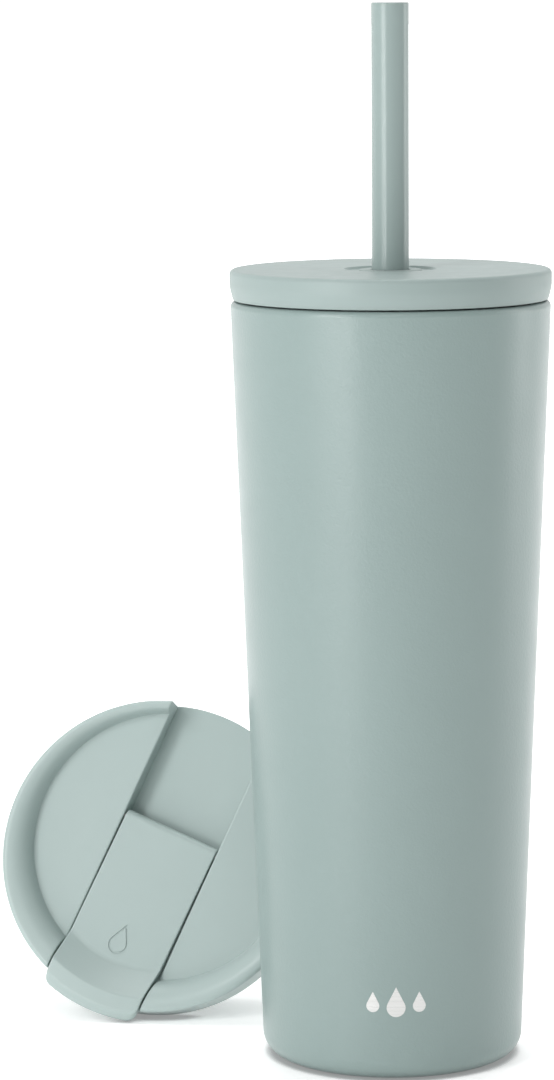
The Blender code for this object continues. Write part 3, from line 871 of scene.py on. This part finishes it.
def camera():
    """In front, a little above the straw lid, looking slightly down."""
    data = bpy.data.cameras.new("camera")
    data.sensor_width = 36.0
    data.lens = CAMERA_LENS
    data.clip_start, data.clip_end = 0.05, 100.0
    obj = bpy.data.objects.new("camera", data)
    bpy.context.scene.collection.objects.link(obj)
    turn = (Matrix.Rotation(math.radians(90.0) - CAMERA_TILT, 4, "X")
            @ Matrix.Rotation(CAMERA_ROLL, 4, "Z"))
    obj.matrix_world = Matrix.Translation(CAMERA_PLACE) @ turn
    bpy.context.scene.camera = obj


def floor():
    """A pale floor with a painted contact shadow, its colour darker in the gap under a piece, and
    glowing far behind the set.
    """
    half = FLOOR_HALF
    obj = mesh_object("floor", [(-half, -half, 0.0), (half, -half, 0.0), (half, half, 0.0),
                                (-half, half, 0.0)], [(0, 1, 2, 3)])
    made = Finish("floor_white_painted_shadow")
    # painted contact shadow: the floor's base colour darkens where the ambient-occlusion node finds
    # a piece close by
    painted_shadow = made.spread(made.openness(PAINTED_SHADOW_REACH), 0.0, 1.0, 0.35, 0.80)
    made.link("Base Color", made.tint(painted_shadow, FLOOR_PAINTED_SHADOW, FLOOR_PALE))
    made.link("Roughness", made.spread(made.noise(40.0), 0.55, 0.65))
    made.set("Emission Color", (1.0, 1.0, 1.0, 1.0))
    made.link("Emission Strength", made.spread(made.along_y(), GLOW_NEAR, GLOW_FAR, 0.0, 1.0))
    obj.data.materials.append(made.material)


def soft_light(name, place, target, size, power):
    """A rectangular lamp at a place, turned to a target."""
    data = bpy.data.lights.new(name, "AREA")
    data.shape = "RECTANGLE"
    data.size, data.size_y = size
    data.energy = power
    obj = bpy.data.objects.new(name, data)
    bpy.context.scene.collection.objects.link(obj)
    obj.location = place
    obj.rotation_mode = "QUATERNION"
    obj.rotation_quaternion = (Vector(target) - Vector(place)).to_track_quat("-Z", "Y")


def surroundings():
    """White all round, bright behind the set and dim in front of it."""
    world = bpy.data.worlds.new("studio")
    bpy.context.scene.world = world
    world.use_nodes = True
    tree = world.node_tree
    facing = tree.nodes.new("ShaderNodeVectorMath")
    facing.operation = "DOT_PRODUCT"
    facing.inputs[1].default_value = Vector(TO_FRONT).normalized()
    tree.links.new(tree.nodes.new("ShaderNodeTexCoord").outputs["Generated"], facing.inputs[0])
    falloff = tree.nodes.new("ShaderNodeMapRange")
    falloff.interpolation_type = "SMOOTHSTEP"
    falloff.inputs["From Min"].default_value = BACKLIGHT[1]
    falloff.inputs["From Max"].default_value = FRONTLIGHT[1]
    falloff.inputs["To Min"].default_value = BACKLIGHT[0]
    falloff.inputs["To Max"].default_value = FRONTLIGHT[0]
    tree.links.new(facing.outputs["Value"], falloff.inputs["Value"])
    tree.links.new(falloff.outputs["Result"], tree.nodes["Background"].inputs["Strength"])
    tree.nodes["Background"].inputs["Color"].default_value = (1.0, 1.0, 1.0, 1.0)
    bpy.context.scene.view_settings.view_transform = "Standard"


camera()
floor()
surroundings()
for light in SOFT_LIGHTS:
    soft_light(*light)

COAT = powder_coat()
PLASTIC = moulded("lid_plastic", SAGE_PLASTIC, 0.34, 0.000006)
STRAW_LID_PLASTIC = moulded("straw_lid_plastic", SAGE_STRAW_LID, 0.44, 0.000006)
STRAW = moulded("straw_plastic", SAGE_STRAW, 0.24, 0.0000002, 0.005)
SILICONE = rubber(SAGE_SILICONE)
BARE_STEEL = brushed("brushed_steel", 0.30, (6.0, 6.0, 2400.0))

WALL = Wall()
finish_piece(shell(WALL), "tumbler", COAT, ["outer_shell"])
finish_piece(liner(WALL), "tumbler", BARE_STEEL, ["inner_liner"])
finish_piece(base_plate(), "tumbler", COAT, ["base_cover"])
finish_piece(emblem(WALL), "tumbler", BARE_STEEL)
finish_piece(straw_lid_top(), "straw_lid", STRAW_LID_PLASTIC, ["straw_lid_cap"])
finish_piece(lid_skirt("straw_lid_skirt", "straw_lid_plug"), "straw_lid",
             STRAW_LID_PLASTIC, ["straw_lid_plug"])
finish_piece(lid_seal("straw_lid_seal", "straw_lid_gasket"), "straw_lid", SILICONE,
             ["straw_lid_gasket"])
finish_piece(straw_collar(), "straw_lid", SILICONE, ["straw_grommet"])
finish_piece(straw_tube(), "straw", STRAW, ["straw"])

FLIP = flip_lid_place()
finish_piece(flip_cap(), "flip_lid", PLASTIC, ["flip_lid_cap"], FLIP)
finish_piece(lid_skirt("flip_lid_skirt", "flip_lid_plug", FLIP), "flip_lid",
             PLASTIC, ["flip_lid_plug"], FLIP)
finish_piece(lid_seal("flip_lid_seal", "flip_lid_gasket", FLIP), "flip_lid",
             SILICONE, ["flip_lid_gasket"], FLIP)
finish_piece(thumb_tab(), "flip_tab", PLASTIC, ["flip_tab"], FLIP)
finish_piece(stopper("sip_stopper", "sip_seal"), "flip_tab", SILICONE, ["sip_seal"],
             FLIP)
finish_piece(stopper("vent_stopper", "vent_seal"), "flip_tab", SILICONE,
             ["vent_seal"], FLIP)

# CAD nodes that stay as they are, in these finishes
for name, paint in (("shell_bottom", BARE_STEEL), ("getter", BARE_STEEL),
                    ("hinge_pin", BARE_STEEL), ("vacuum_seal", sealing_glass())):
    frame["nodes"][name].data.materials.clear()
    frame["nodes"][name].data.materials.append(paint)
